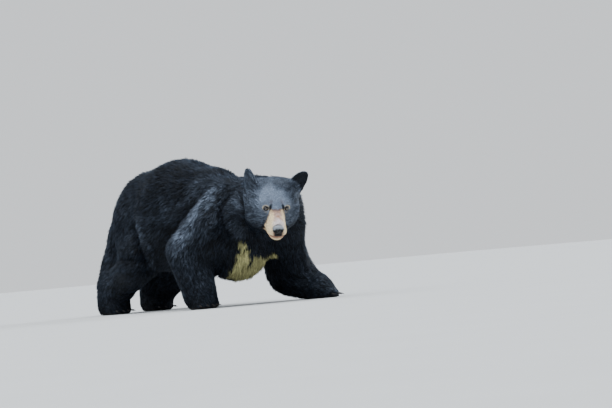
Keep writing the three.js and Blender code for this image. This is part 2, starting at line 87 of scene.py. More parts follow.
# Ridges and folds of the flesh under the coat: height, half width, and a line of places, each
# a node and the shares of its box along x, y and z. A fold has a height below nothing.
FORMS = {
    "cheek_back": (-0.013, 0.013, (
        ("neck", 0.29, 0.47, 0.82), ("head", 0.07, 0.65, 0.46), ("neck", 0.34, 0.46, 0.28),
        ("neck", 0.50, 0.53, 0.13))),
    "collar": (0.008, 0.022, (
        ("neck", 0.26, 0.54, 0.79), ("neck", 0.16, 0.52, 0.60), ("neck", 0.14, 0.52, 0.44),
        ("neck", 0.28, 0.53, 0.28))),
    "neck_hollow": (-0.022, 0.022, (
        ("upper_arm_R", 0.99, 0.13, 0.82), ("upper_arm_R", 0.71, 0.06, 0.58),
        ("neck", 0.11, 0.55, 0.37), ("neck", 0.24, 0.60, 0.18))),
    "shoulder_ridge": (0.016, 0.036, (
        ("upper_arm_R", 0.87, 0.21, 0.84), ("upper_arm_R", 0.48, 0.36, 0.60),
        ("upper_arm_R", 0.25, 0.51, 0.32), ("upper_arm_R", 0.03, 0.62, 0.14))),
    "behind_arm": (-0.018, 0.026, (
        ("upper_arm_R", 0.74, 0.38, 0.83), ("upper_arm_R", 0.54, 0.63, 0.62),
        ("upper_arm_R", 0.51, 0.90, 0.38), ("trunk", 0.08, 0.43, 0.43),
        ("trunk", 0.13, 0.49, 0.33))),
    "flank_ridge": (0.014, 0.022, (
        ("trunk", 0.02, 0.57, 0.63), ("trunk", 0.04, 0.56, 0.45), ("trunk", 0.11, 0.56, 0.29))),
    "flank_back": (-0.020, 0.022, (
        ("thigh_R", 0.25, 0.14, 0.53), ("thigh_R", 0.22, 0.07, 0.31),
        ("trunk", 0.04, 0.58, 0.35), ("shank_R", 0.39, 0.02, 0.86))),
    "thigh_band": (-0.020, 0.026, (
        ("thigh_R", 0.25, 0.80, 0.12), ("thigh_R", 0.04, 0.14, 0.09),
        ("trunk", 0.06, 0.57, 0.31))),
    "flank_dip": (-0.009, 0.016, (("trunk", 0.04, 0.48, 0.47), ("trunk", 0.09, 0.51, 0.37))),
    "arm_front": (-0.012, 0.016, (
        ("neck", 0.04, 0.63, 0.24), ("forearm_R", 0.77, 0.01, 0.88),
        ("trunk", 0.21, 0.16, 0.16))),
    "wrist_fold": (-0.007, 0.014, (
        ("forearm_R", 0.24, 0.22, 0.78), ("forearm_R", 0.51, 0.14, 0.64),
        ("forearm_R", 0.79, 0.13, 0.65))),
}
# The two arms of the mark on the chest: places, and its half width at each.
BLAZE = (
    ((("neck", 0.32, 0.61, 0.14), 0.010), (("trunk", 0.37, 0.03, 0.25), 0.034),
     (("trunk", 0.42, 0.08, 0.15), 0.056)),
    ((("upper_arm_L", 0.06, 0.30, 0.17), 0.032), (("trunk", 0.56, 0.04, 0.23), 0.046),
     (("trunk", 0.50, 0.07, 0.15), 0.052)),
)
EYE_SPLAY = 30  # degrees each eye looks outward
LID_OPENING = (0.0114, 0.0100)  # half width and half height between the lids
LID = 0.0013  # how far a lid stands off the eyeball
LID_BACK = 0.0030  # how far behind the eyeball's front the skin lies between the lids
CORNEA = 0.06  # bulge of an eye's front, as a share of its radius
MUZZLE_SLOPE = 30.7  # degrees the line from eyes to nose drops below the head's own axis
SIGN = {"L": 1, "R": -1}


# ---- vectors
def unit(v):
    v = np.asarray(v, float)
    return v / np.maximum(np.linalg.norm(v, axis=-1, keepdims=True), 1e-12)


def dot(a, b):
    return (a * b).sum(-1)


def step(x, low, high):
    """0 below low, 1 above high, smooth between. low may be the larger."""
    t = np.clip((x - low) / (high - low), 0, 1)
    return t * t * (3 - 2 * t)


def distance(points, place):
    return np.linalg.norm(points - place, axis=1)


def oval(x, y, centre, half):
    """Distance from a centre, as a share of an oval's half sizes."""
    return np.hypot((x - centre[0]) / half[0], (y - centre[1]) / half[1])


def along_skin(ways, normals):
    """Unit vectors, without the part of each that points off the skin."""
    return unit(ways - normals * dot(ways, normals)[:, None])


def lift(points, least=0.0):
    """Moves what is lower up to a least height over the floor."""
    points[:, 2] = np.maximum(points[:, 2], least)


def box_of(*names):
    """Lowest and highest corners of the box round some CAD nodes."""
    boxes = [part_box(name) for name in names]
    low = np.min([np.array(b[0]) for b in boxes], 0)
    return low, np.max([np.array(b[1]) for b in boxes], 0)


def middle(*names):
    low, high = box_of(*names)
    return (low + high) / 2


def place_on(node, *shares):
    """A place given as shares of a node's box."""
    low, high = box_of(node)
    return low + (high - low) * shares


def waves(points, length, seed, count=14):
    """A smooth random field, about -1 to 1, that changes over the given length."""
    draw = np.random.default_rng(seed)
    ways = unit(draw.normal(size=(count, 3)))
    rates = 2 * math.pi / (length * draw.uniform(0.7, 1.6, count))
    shifts = draw.uniform(0, 2 * math.pi, count)
    total = np.sin(points @ (ways * rates[:, None]).T + shifts).sum(1)
    return total / math.sqrt(count / 2)


UP = np.array([0.0, 0.0, 1.0])
BACK = np.array([0.0, 1.0, 0.0])

# ---- places on the head
eye_at = {side: middle("eye_" + side) for side in "LR"}
EYE_RADIUS = max(np.ptp(box_of("eye_L"), axis=0)) / 2
between_eyes = (eye_at["L"] + eye_at["R"]) / 2
nose_at = middle("nose")
head_left = unit(eye_at["L"] - eye_at["R"])
muzzle_way = nose_at - between_eyes
muzzle_way = unit(muzzle_way - head_left * (muzzle_way @ head_left))
muzzle_up = np.cross(muzzle_way, head_left)
slope = math.radians(MUZZLE_SLOPE)
head_front = muzzle_way * math.cos(slope) + muzzle_up * math.sin(slope)
head_up = muzzle_up * math.cos(slope) - muzzle_way * math.sin(slope)


def on_muzzle(points):
    """Distances from between the eyes: towards the nose, to the left, and off the bridge."""
    rel = points - between_eyes
    return rel @ muzzle_way, rel @ head_left, rel @ muzzle_up


# ---- mesh helpers
def arrays_of(mesh):
    """Points (n, 3) and triangles (m, 3) of a mesh."""
    mesh.calc_loop_triangles()
    points = np.empty(len(mesh.vertices) * 3, np.float32)
    mesh.vertices.foreach_get("co", points)
    corners = np.empty(len(mesh.loop_triangles) * 3, np.int32)
    mesh.loop_triangles.foreach_get("vertices", corners)
    return points.reshape(-1, 3).astype(float), corners.reshape(-1, 3)


def welded(points, corners):
    """The same solid with one vertex at each place."""
    keys, index = np.unique(np.round(points, 6), axis=0, return_inverse=True)
    corners = index.reshape(-1)[corners]
    real = (corners[:, 0] != corners[:, 1]) & (corners[:, 1] != corners[:, 2])
    real &= corners[:, 0] != corners[:, 2]
    return keys, corners[real]


def face_vectors(points, corners):
    """A vector off each triangle, as long as twice its area."""
    sides = points[corners]
    return np.cross(sides[:, 1] - sides[:, 0], sides[:, 2] - sides[:, 0])


def normals_of(points, corners):
    faces = face_vectors(points, corners)
    total = np.zeros_like(points)
    for k in range(3):
        for c in range(3):
            total[:, c] += np.bincount(corners[:, k], faces[:, c], len(points))
    return unit(total)


def placed(name, data):
    """A new object in the scene."""
    made = bpy.data.objects.new(name, data)
    bpy.context.scene.collection.objects.link(made)
    return made


def mesh_object(name, points, corners, smooth=True):
    """A mesh object from points (n, 3) and triangles (m, 3)."""
    mesh = bpy.data.meshes.new(name)
    mesh.vertices.add(len(points))
    mesh.vertices.foreach_set("co", np.asarray(points, np.float32).ravel())
    mesh.loops.add(corners.size)
    mesh.loops.foreach_set("vertex_index", corners.astype(np.int32).ravel())
    mesh.polygons.add(len(corners))
    mesh.polygons.foreach_set("loop_start", np.arange(0, corners.size, 3, dtype=np.int32))
    mesh.polygons.foreach_set("use_smooth", np.full(len(corners), smooth))
    mesh.update(calc_edges=True)
    mesh.validate()
    return placed(name, mesh)


def changed(piece, kind, **settings):
    """Gives a piece its mesh after one modifier, which isn't kept."""
    modifier = piece.modifiers.new(kind, kind)
    for key, value in settings.items():
        setattr(modifier, key, value)
    depsgraph = bpy.context.evaluated_depsgraph_get()
    mesh = bpy.data.meshes.new_from_object(piece.evaluated_get(depsgraph))
    piece.modifiers.remove(modifier)
    old = piece.data
    piece.data = mesh
    bpy.data.meshes.remove(old)


def put_field(mesh, name, values):
    """Stores a number or a vector for each vertex."""
    kind, key = ("FLOAT", "value") if values.ndim == 1 else ("FLOAT_VECTOR", "vector")
    field = mesh.attributes.new(name, kind, "POINT")
    field.data.foreach_set(key, np.asarray(values, np.float32).ravel())


def reshape(piece, points):
    """Gives a mesh new places for its vertices."""
    piece.data.vertices.foreach_set("co", points.astype(np.float32).ravel())
    piece.data.update()
    piece.data.shade_smooth()


def gathered(names, swell=0.0):
    """The solids of some CAD nodes as one mesh, and the node that each triangle is of."""
    points, corners, owner, count = [], [], [], 0
    for index, name in enumerate(names):
        p, c = welded(*arrays_of(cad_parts[name].data))
        points.append(p + normals_of(p, c) * swell)
        corners.append(c + count)
        owner += [index] * len(c)
        count += len(p)
    return np.concatenate(points), np.concatenate(corners), np.array(owner)


class Net:
    """The edges of a mesh, for spreading values over it."""

    def __init__(self, mesh):
        edges = np.empty(len(mesh.edges) * 2, np.int32)
        mesh.edges.foreach_get("vertices", edges)
        edges = edges.reshape(-1, 2)
        self.count = len(mesh.vertices)
        start = np.concatenate([edges[:, 0], edges[:, 1]])
        end = np.concatenate([edges[:, 1], edges[:, 0]])
        order = np.argsort(start, kind="stable")
        self.end = end[order]
        self.degree = np.bincount(start, minlength=self.count)
        self.first = np.concatenate([[0], np.cumsum(self.degree)[:-1]])
        self.edges = edges

    def average(self, values):
        total = np.add.reduceat(values[self.end], self.first, axis=0)
        return total / self.degree.reshape((-1,) + (1,) * (values.ndim - 1))

    def spread(self, values, rounds, amount=0.8):
        if np.ndim(amount):
            amount = np.reshape(amount, (-1,) + (1,) * (values.ndim - 1))
        for _ in range(rounds):
            values = values + amount * (self.average(values) - values)
        return values

    def largest_shell(self):
        label = np.arange(self.count)
        while True:
            low = np.minimum(label[self.edges[:, 0]], label[self.edges[:, 1]])
            new = label.copy()
            np.minimum.at(new, self.edges[:, 0], low)
            np.minimum.at(new, self.edges[:, 1], low)
            new = new[new]
            if (new == label).all():
                break
            label = new
        return label == np.bincount(label).argmax()


# ---- the flesh nodes
def kind_of(node):
    return node[:-2] if node[-2:] in ("_L", "_R") else node


FLESH = [n for n in sorted(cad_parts) if kind_of(n) in COAT]
CLAWS = [n for n in sorted(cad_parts) if n.startswith("claw_")]


class Solids:
    """The flesh nodes as one set of triangles that knows which node each belongs to."""

    def __init__(self, names):
        self.points, self.corners, self.owner = gathered(names, SWELL)
        self.tree = BVHTree.FromPolygons(self.points.tolist(), self.corners.tolist())

    def nearest(self, points):
        """The node nearest each point, and how far away it is."""
        found = [self.tree.find_nearest(Vector(p)) for p in points]
        owner = self.owner[[f[2] for f in found]]
        return owner, np.array([f[3] for f in found])


solids = Solids(FLESH)
kinds = [kind_of(n) for n in FLESH]
table = np.array([COAT[k] for k in kinds])


def tree_of(points):
    tree = KDTree(len(points))
    for index, point in enumerate(points):
        tree.insert(Vector(point), index)
    tree.balance()
    return tree


def laid(places, tree, gap=0.006):
    """Points along a line of places, moved onto the skin, and the share of the line at each."""
    places = np.array(places)
    ends = np.linalg.norm(np.diff(places, axis=0), axis=1)
    along = np.concatenate([[0], np.cumsum(ends)])
    marks = np.linspace(0, along[-1], max(2, int(along[-1] / gap)))
    line = np.stack([np.interp(marks, along, places[:, k]) for k in range(3)], 1)
    return np.array([tree.find(Vector(p))[0] for p in line]), marks / along[-1]


def from_line(points, line):
    """How far each point is from a line of points, and the one that it is nearest."""
    far, which = np.full(len(points), np.inf), np.zeros(len(points), int)
    for index, place in enumerate(line):
        here = distance(points, place)
        closer = here < far
        far[closer], which[closer] = here[closer], index
    return far, which


# ---- the skin's first mesh
def rounded(points, net, amount, rounds=60):
    """Facets smoothed away. The broad shrinking that this brings is put back."""
    smooth = net.spread(points, rounds, amount)
    for _ in range(2):
        smooth = smooth + net.spread(points - smooth, rounds, amount)
    return smooth


def first_skin():
    piece = mesh_object("skin", solids.points, solids.corners)
    changed(piece, "REMESH", mode="VOXEL", voxel_size=VOXEL, use_smooth_shade=True)
    net = Net(piece.data)
    keep = net.largest_shell()
    if not keep.all():
        bm = bmesh.new()
        bm.from_mesh(piece.data)
        bm.verts.ensure_lookup_table()
        loose = [bm.verts[i] for i in np.flatnonzero(~keep)]
        bmesh.ops.delete(bm, geom=loose, context="VERTS")
        bm.to_mesh(piece.data)
        bm.free()
        net = Net(piece.data)
    points, corners = arrays_of(piece.data)
    owner, _ = solids.nearest(points)
    amount = net.spread(table[owner, 4], 6)
    smooth = rounded(points, net, amount)
    sole = step(points[:, 2], 0.012, 0.004)[:, None]
    smooth[:, 2:] = smooth[:, 2:] * (1 - sole) + points[:, 2:] * sole
    piece.data.vertices.foreach_set("co", smooth.astype(np.float32).ravel())
    # The body keeps fewer faces than the head.
    from_face = distance(smooth, between_eyes - head_front * 0.03)
    body = np.flatnonzero(from_face > FACE_REACH)
    piece.vertex_groups.new(name="thin").add(body.tolist(), 1.0, "REPLACE")
    ratio = SKIN_FACES / len(corners)
    changed(piece, "DECIMATE", decimate_type="COLLAPSE", ratio=ratio, vertex_group="thin")
    piece.vertex_groups.clear()
    return piece


def split_faces(mesh, near):
    """Halves the edges of the faces whose middle is near, and rounds what is new."""
    bm = bmesh.new()
    bm.from_mesh(mesh)
    chosen = [f for f in bm.faces if near(np.array(f.calc_center_median()))]
    edges = list({e for f in chosen for e in f.edges})
    bmesh.ops.subdivide_edges(bm, edges=edges, cuts=1, use_grid_fill=True, smooth=0.6)
    bmesh.ops.triangulate(bm, faces=[f for f in bm.faces if len(f.verts) > 4])
    bm.to_mesh(mesh)
    bm.free()


def near_eyes(reach):
    return lambda p: min(np.linalg.norm(p - e) for e in eye_at.values()) < reach


def near_muzzle(p):
    m, l, _ = on_muzzle(p)
    return m > 0.035 and abs(l) < 0.09 and np.linalg.norm(p - between_eyes) < 0.24


skin = first_skin()
split_faces(skin.data, lambda p: near_muzzle(p) or near_eyes(0.042)(p))
split_faces(skin.data, near_eyes(0.030))
split_faces(skin.data, near_eyes(0.020))
net = Net(skin.data)
points, corners = arrays_of(skin.data)
owner, _ = solids.nearest(points)
kind_names, node_names = np.array(kinds)[owner], np.array(FLESH)[owner]

# ---- the coat over the skin
depth, length, width, density = (net.spread(table[owner, k], 16) for k in range(4))
is_head = np.isin(kind_names, ["head", "muzzle", "jaw", "ear"])
on_head = net.spread(is_head.astype(float), 3)
is_ear = kind_names == "ear"
is_paw = np.isin(kind_names, ["fore_paw", "hind_paw"])
ear_way = {side: unit(middle("ear_" + side) - middle("head")) for side in "LR"}
ear_root = {side: middle("ear_" + side) - 0.040 * way for side, way in ear_way.items()}
by_ear = {
    side: step(distance(points, ear_root[side]), 0.080, 0.045) * is_head * ~is_ear
    for side in "LR"
}


def limb_flow(node):
    """The way the hair lies on a node of a limb: towards the next node."""
    kind, side = node[:-2], node[-1]
    for end, chain in LIMBS.items():
        if kind in chain:
            place = chain.index(kind)
            here = middle(node)
            if place == 2:
                toes = [n for n in CLAWS if n.startswith(f"claw_{end}_{side}")]
                return unit(middle(*toes) - here)
            return unit(middle(f"{chain[place + 1]}_{side}") - here + 0.04 * BACK)
    return None


def lie_of_hair(points, normals):
    """The way the hair lies at each point of the skin."""
    flow = np.tile(BACK - 0.62 * UP, (len(points), 1))
    for node, kind in zip(FLESH, kinds):
        here = node_names == node
        if kind in ("head", "muzzle", "jaw"):
            rays = unit(points[here] - nose_at)
            flow[here] = rays - 0.25 * head_up - 0.15 * head_front
        elif kind == "ear":
            root = middle(node) - 0.6 * (middle(node) - middle("head"))
            flow[here] = unit(points[here] - root)
        elif kind == "neck":
            flow[here] = unit(points[here] - middle("head")) + 0.5 * BACK - 0.45 * UP
        elif kind == "tail":
            flow[here] = -UP + 0.2 * BACK
        else:
            way = limb_flow(node)
            if way is not None:
                flow[here] = way
    for side in "LR":
        flow = unit(flow) + (1.6 * by_ear[side])[:, None] * ear_way[side]
    flow = along_skin(net.spread(unit(flow), 14), normals)
    return along_skin(net.spread(flow, 4), normals)


normals = normals_of(points, corners)
flow = lie_of_hair(points, normals)

# Local changes of the coat.
m, l, _ = on_muzzle(points)
from_eye = np.min([distance(points, e) for e in eye_at.values()], 0)
head_rel = points - middle("head")
face = is_head * step(head_rel @ head_front, -0.06, 0.03)
cheek = is_head * step(np.abs(head_rel @ head_left), 0.07, 0.12) * (1 - step(m, 0.05, 0.09))
crown = is_head * step(head_rel @ head_up, 0.02, 0.06) * (1 - cheek)
shorten = 1 - 0.45 * crown * ~is_ear - 0.25 * face * ~is_ear + 0.25 * cheek
near = np.where(is_head & ~is_ear, 0.28 + 0.72 * step(from_eye, 0.014, 0.055), 1.0)
length = length * np.clip(shorten, 0.3, 1.3) * near
depth = depth * np.clip(shorten, 0.3, 1.2) * np.clip(near * 1.3 - 0.3, 0.05, 1)
width = width * np.clip(shorten, 0.55, 1.1) * (0.45 + 0.55 * near)
density = density / np.clip(near, 0.35, 1) / np.clip(shorten, 0.5, 1.1)
ear_rim_highlight = np.zeros(len(points))
for side, way in ear_way.items():
    length = length + 0.014 * by_ear[side]
    depth = depth + 0.003 * by_ear[side]
    up_ear = (points - middle("ear_" + side)) @ way
    here = node_names == "ear_" + side
    tall = step(up_ear, -0.040, 0.020)
    tuft = 0.008 * step(up_ear, 0.022, 0.034) * (side == "R")
    # A painted highlight on the rim of each ear, on the faces turned away from the front.
    ahead = normals @ head_front
    rim = step(ahead, 0.70, 0.25) * (0.35 + 0.65 * step(ahead, -0.75, -0.25))
    ear_rim_highlight = np.where(here, rim, ear_rim_highlight)
    length = np.where(here, 0.024 - 0.015 * tall + tuft, length)
    depth = np.where(here, 0.004 - 0.0025 * tall, depth)
    width = np.where(here, 0.0032 - 0.0010 * tall, width)
pad = step(distance(points, nose_at), 0.034, 0.058)
length = np.where(is_head, length * (0.35 + 0.65 * pad), length)
near_ear = step(net.spread(1.0 * (node_names == "ear_R"), 2), 0.2, 0.8)
belly = np.where(kind_names == "trunk", step(-normals[:, 2], 0.3, 0.8), 0)
length = length * (1 + 0.15 * belly)
sole = step(points[:, 2], 0.016, 0.005) * step(-normals[:, 2], 0.2, 0.6)
depth = depth * (1 - sole)
density = density * (1 - sole)
depth = net.spread(depth, 4)

points = points - normals * depth[:, None]
points = net.spread(points, 3, np.where(is_head, 0.1, 0.5))
by_root = np.max([step(distance(points, r), 0.062, 0.034) for r in ear_root.values()], 0)
points = net.spread(points, 24, 0.7 * by_root)
lift(points)

# ---- ridges and folds
on_skin = tree_of(points)
normals = normals_of(points, corners)
form_share = {}
rise = np.zeros(len(points))
for form, (height, half, places) in FORMS.items():
    line, share = laid([place_on(*p) for p in places], on_skin)
    far, which = from_line(points, line)
    taper = step(share, 0.0, 0.22) * step(share, 1.0, 0.80)
    form_share[form] = np.exp(-((far / half) ** 2)) * (0.25 + 0.75 * taper[which])
    rise += height * form_share[form]
crown_top = between_eyes - 0.148 * head_front + 0.086 * head_up + 0.015 * head_left
rise += 0.011 * np.exp(-((distance(points, crown_top) / 0.060) ** 2))
points = points + normals * net.spread(rise, 2)[:, None]
lift(points)

blaze = np.zeros(len(points))
for arm in BLAZE:
    line, share = laid([place_on(*place) for place, _ in arm], on_skin)
    far, which = from_line(points, line)
    half = np.interp(share, np.linspace(0, 1, len(arm)), [size for _, size in arm])
    ragged = 0.008 * waves(points, 0.03, 7)
    blaze = np.maximum(blaze, step(far + ragged - half[which], 0.005, -0.005))

# ---- eyes and lids
eye_way, eye_side, eye_top = {}, {}, {}
for side, sign in SIGN.items():
    turn = math.radians(EYE_SPLAY) * sign
    way = unit(head_front * math.cos(turn) + head_left * math.sin(turn) + 0.10 * head_up)
    across = unit(np.cross(head_up, way))
    eye_way[side], eye_side[side], eye_top[side] = way, across, np.cross(way, across)


def lid_shape(points, side):
    """How far out from the opening's middle (1 at the rim), then out, inward and up in metres."""
    rel = points - eye_at[side]
    out, above = rel @ eye_way[side], rel @ eye_top[side]
    inward = (rel @ eye_side[side]) * -SIGN[side]
    tilt = above - 0.04 * inward
    ring = np.sqrt((inward / LID_OPENING[0]) ** 2 + (tilt / LID_OPENING[1]) ** 2)
    return ring, out, inward, above


def open_lids(points):
    """Skin drawn over each eyeball as lids, and behind it between them."""
    for side in "LR":
        ring, out, inward, above = lid_shape(points, side)
        near = (out > -0.4 * EYE_RADIUS) & (np.hypot(inward, above) < 2.4 * EYE_RADIUS)
        rho2 = inward**2 + above**2
        lid = np.sqrt(np.maximum((EYE_RADIUS + LID) ** 2 - rho2, 0))
        raised = np.maximum(out, lid + 0.0006 * step(ring, 1.7, 1.1))
        level = out + (raised - out) * step(ring, 2.6, 1.6)
        ball = np.sqrt(np.maximum(EYE_RADIUS**2 - rho2, 0)) - LID_BACK
        level = level + (ball - level) * step(ring, 1.04, 0.90)
        move = np.where(near, level - out, 0)
        points = points + move[:, None] * eye_way[side]
    return points


points = open_lids(points)

# ---- the mouth's crease
close = np.flatnonzero(is_head & (m > 0.02))
_, to_jaw = Solids(["jaw"]).nearest(points[close])
_, to_muzzle = Solids(["muzzle"]).nearest(points[close])
split = np.full(len(points), 1.0)  # less than 0 on the jaw, more on the muzzle
split[close] = to_jaw - to_muzzle
mouth = np.exp(-((split / 0.0050) ** 2))
mouth[close] *= step(np.maximum(to_jaw, to_muzzle), 0.02, 0.006)
normals = normals_of(points, corners)
points = points - normals * (0.0062 * mouth)[:, None]
below_mouth = step(split, 0.002, -0.004)
chin = (below_mouth * step(m, 0.07, 0.10))[:, None]
drawn_in = 0.0075 * step(m, 0.09, 0.13)[:, None] * muzzle_way + 0.11 * l[:, None] * head_left
points = points - chin * drawn_in
normals = normals_of(points, corners)

# ---- markings, and painted sheen and shade
BLACK = (0.0022, 0.0034, 0.0062)
# Blue-grey of a painted sheen that stands for the sky's reflection on the black hair.
PAINTED_SHEEN_GREY = (0.225, 0.275, 0.360)
BRIDGE = (0.46, 0.275, 0.200)
# Pale grey of painted highlights on the muzzle's bridge.
HIGHLIGHT_PALE = (0.80, 0.76, 0.78)
CREAM = (0.90, 0.71, 0.43)
LIP = (0.50, 0.25, 0.17)
CHEST = (0.68, 0.64, 0.29)
BROWN = (0.10, 0.050, 0.028)
# Dark bare skin, also used as painted shade under the nose and in the mouth's crease.
BARE_SKIN_AND_SHADE = (0.012, 0.010, 0.010)
# The tan of the muzzle: its half width at distances from between the eyes, and where it starts
# at distances from the middle.
TAN_WIDTH = (0.0, 0.02, 0.045, 0.066, 0.10), (0.030, 0.036, 0.043, 0.056, 0.064)
TAN_START = (0.0, 0.022, 0.036), (0.020, 0.014, 0.006)
# Spots round each eye: middle (inward and up), half sizes, where the edge fades out and in,
# strength, whether only on the lids, and colour.
EYE_SPOTS = (
    ((0.0215, 0.010), (0.0090, 0.019), (1.3, 0.4), 0.95, False, BLACK),
    ((0.0145, -0.001), (0.0035, 0.0050), (1.3, 0.5), 0.55, True, CREAM),
    ((0.017, 0.034), (0.0110, 0.013), (1.3, 0.2), 0.40, False, BROWN),
    ((0.006, -0.021), (0.010, 0.004), (1.2, 0.4), 0.14, True, CREAM),
)


def blended(colour, *layers):
    """A colour under layers, each given by its share at every point and its colour."""
    for share, other in layers:
        colour = colour + share[:, None] * (np.array(other) - colour)
    return colour


def markings_and_painted_light(points, normals):
    """The colour of the coat at each point: its markings, with painted sheen, highlights and
    shade.
    """
    m, l, a = on_muzzle(points)
    side = np.abs(l)
    rel = points - between_eyes
    up = rel @ head_up
    # How far a painted blue-grey sheen covers the black hair, standing for the sky's reflection:
    # most on the forehead and crown, least on the back.
    brow = np.linalg.norm(
        rel - 0.040 * head_up + 0.025 * head_front + 0.018 * head_left, axis=1
    ) + 0.6 * np.maximum(up - 0.055, 0)
    # Painted light: faces that look up are lighter, the paws' tops most.
    painted_sheen = 0.055 + (0.01 + 0.09 * is_paw) * step(normals[:, 2], 0.1, 0.95)
    # Painted shade: less sheen on the slopes of the back.
    saddle = step(normals[:, 2], 0.10, 0.45) * step(normals[:, 2], 0.98, 0.85)
    painted_sheen = painted_sheen * (1 - 0.70 * saddle * (kind_names == "trunk"))
    # Painted light on the forearms; painted shade on faces that look down.
    painted_sheen = painted_sheen + 0.03 * (kind_names == "forearm")
    painted_sheen = painted_sheen * (0.30 + 0.70 * step(normals[:, 2], -0.5, 0.2))
    painted_sheen = np.maximum(painted_sheen, on_head * (0.24 + 0.76 * step(brow, 0.120, 0.035)))
    # On the ears: more painted sheen on the near ear, and a painted highlight on their rims.
    painted_sheen = np.where(is_ear, 0.03 + 0.13 * near_ear + 0.38 * ear_rim_highlight, painted_sheen)
    # Painted shade on the lower part of the head.
    painted_sheen = painted_sheen * np.where(on_head > 0.5, step(up, -0.15, -0.05), 1.0)
    # Painted highlights along the ridges, and painted shade in the folds.
    for form, share in (("shoulder_ridge", 0.32), ("collar", 0.16), ("flank_ridge", 0.12)):
        painted_sheen = np.maximum(painted_sheen, share * form_share[form] ** 0.35)
    for form in ("thigh_band", "neck_hollow", "cheek_back", "behind_arm", "flank_back"):
        painted_sheen = painted_sheen * (1 - 0.95 * form_share[form] ** 0.6)
    patchy = 0.20 * waves(points, 0.12, 6) + 0.16 * on_head * waves(points, 0.035, 13)
    painted_sheen = painted_sheen * (1 + patchy)
    colour = blended(np.tile(BLACK, (len(points), 1)), (np.clip(painted_sheen, 0, 1), PAINTED_SHEEN_GREY))
    # The muzzle, which widens towards the corners of the mouth.
    ragged = 0.003 * waves(points, 0.02, 5)
    limit, top = np.interp(m, *TAN_WIDTH), np.interp(side, *TAN_START)
    tan = step(m + ragged, top - 0.006, top + 0.014)
    tan = tan * step(side + ragged, limit + 0.006, limit - 0.008)
    tan = tan * step(a + ragged, -0.100, -0.090) * on_head
    # Painted highlights: a pale streak down the middle of the bridge, and a pale band above the
    # nose.
    bridge_highlight = 0.22 + 0.17 * waves(points, 0.024, 12)
    highlight_above_nose = step(m, 0.072, 0.096) * step(side, 0.040, 0.020) * step(a, -0.012, 0.0)
    # The chin, the lower lip, and painted shade under the nose, between its pad and the lip.
    lower = below_mouth * on_head * step(m, 0.09, 0.11) * step(side, 0.052, 0.044)
    lip = np.exp(-(((split + 0.007) / 0.0055) ** 2)) * step(m, 0.105, 0.122)
    shade_under_nose = step(m, 0.112, 0.126) * step(side, 0.030, 0.016) * step(split, 0.034, 0.024)
    colour = blended(
        colour,
        (tan**0.4, BROWN),
        (tan, BRIDGE),
        (tan * step(side + 1.5 * ragged, 0.013, 0.034), CREAM),
        (bridge_highlight * tan * step(side, 0.028, 0.004) * step(m, 0.015, 0.07), HIGHLIGHT_PALE),
        (0.6 * tan * highlight_above_nose, HIGHLIGHT_PALE),
        (lower, CREAM),
        (lip * below_mouth, LIP),
        (shade_under_nose * step(split, -0.003, 0.001), BARE_SKIN_AND_SHADE),
    )
    # Round the eyes.
    for s in "LR":
        ring, out, inward, above = lid_shape(points, s)
        lids, brow = step(out, -0.004, 0.002), step(out, -0.034, -0.024)
        rim = step(ring, 2.05, 1.65) * (0.15 + 0.85 * step(above - 0.5 * inward, -0.004, 0.006))
        colour = blended(colour, (0.45 * rim * lids, CREAM))
        for centre, half, edge, strength, only_lids, other in EYE_SPOTS:
            spot = strength * step(oval(inward, above, centre, half), *edge)
            colour = blended(colour, (spot * (lids if only_lids else brow), other))
        colour = blended(colour, (step(ring, 1.45, 1.25) * lids, BARE_SKIN_AND_SHADE))
    # Painted light and shade on the chest's mark: lighter on faces that look up, darker on those
    # that look down.
    blaze_painted_light = 0.38 + 0.65 * step(normals[:, 2], -0.75, 0.05) + 0.08 * waves(points, 0.04, 15)
    # Bare skin on the soles; in the mouth's crease, dark lip skin that is also painted shade.
    bare_skin_and_shade = np.clip(sole + 0.9 * mouth * step(m, 0.04, 0.07), 0, 1)
    return blended(colour, (blaze, blaze_painted_light[:, None] * CHEST), (bare_skin_and_shade, BARE_SKIN_AND_SHADE))


tone = markings_and_painted_light(points, normals)

# ---- the finished skin
put_field(skin.data, "tone", tone)
reshape(skin, points)


# ---- tufts
def roots_on(corners, density):
    """Roots spread evenly over the triangles: their triangle and their place in it."""
    area = np.linalg.norm(face_vectors(points, corners), axis=1) / 2
    wanted = area * density[corners].mean(1) * TUFT_SHARE
    middles = points[corners].mean(1)
    # In bands across the bear, each from side to side.
    order = np.argsort(np.round(middles[:, 1] / 0.012) * 10 + middles[:, 0])
    total = np.cumsum(wanted[order])
    count = int(total[-1])
    marks = np.arange(count) + rng.uniform(0, 1, count)
    face = order[np.minimum(np.searchsorted(total, marks), len(order) - 1)]
    u, v = rng.uniform(0, 1, (2, count))
    over = u + v > 1
    u[over], v[over] = 1 - u[over], 1 - v[over]
    return face, np.stack([1 - u - v, u, v], 1)


hidden = np.zeros(len(points), bool)
for side in "LR":
    ring, out, _, _ = lid_shape(points, side)
    hidden |= (ring < 1.25) & (out > 0)
nose_low, nose_high = box_of("nose")
in_nose = ((points > nose_low - 0.001) & (points < nose_high + 0.001)).all(1)
hidden |= in_nose & (distance(points, nose_at) < 0.034)
density = np.where(hidden, 0, density) * (1 - 0.8 * mouth * step(m, 0.04, 0.07))

face, share = roots_on(corners, density)
triples = corners[face]


def at_roots(values):
    return np.einsum("nk,nk...->n...", share, values[triples])


root = at_roots(points)
root_normal = unit(at_roots(normals))
root_flow = along_skin(at_roots(flow), root_normal)
root_side = np.cross(root_normal, root_flow)
root_length, root_width = at_roots(length), at_roots(width)
root_depth = at_roots(depth)
root_tone = at_roots(tone)
on_face = at_roots(on_head) > 0.5
root_owner = owner[triples[:, 0]]
count = len(root)

